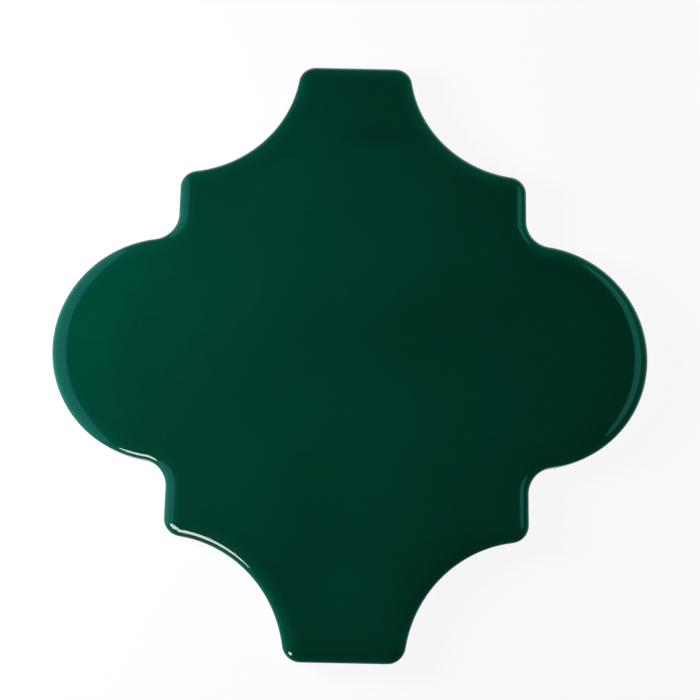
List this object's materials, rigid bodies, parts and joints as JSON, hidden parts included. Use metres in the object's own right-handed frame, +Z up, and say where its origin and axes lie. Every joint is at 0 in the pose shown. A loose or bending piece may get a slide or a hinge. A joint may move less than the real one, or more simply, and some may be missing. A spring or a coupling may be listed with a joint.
{
  "type": "crackle glaze ceramic tile",
  "caption": "Lantern-shaped glazed ceramic wall tile with round side lobes, square necks and a rolled glossy face; nests with copies of itself and beds on its flat back.",
  "frame": {"origin": "middle of the flat back face, on the surface that the tile lies on", "axes": "+Z up through the glazed face, +Y along the line of the square necks, +X across the round lobes"},
  "size_m": [0.15, 0.1526, 0.008],
  "materials": {
    "glaze": "glossy deep green crackle glaze on the face and upper edges, over a pale fired body"
  },
  "bodies": {
    "root": {"lantern_tile": "glaze"}
  },
  "joints": []
}
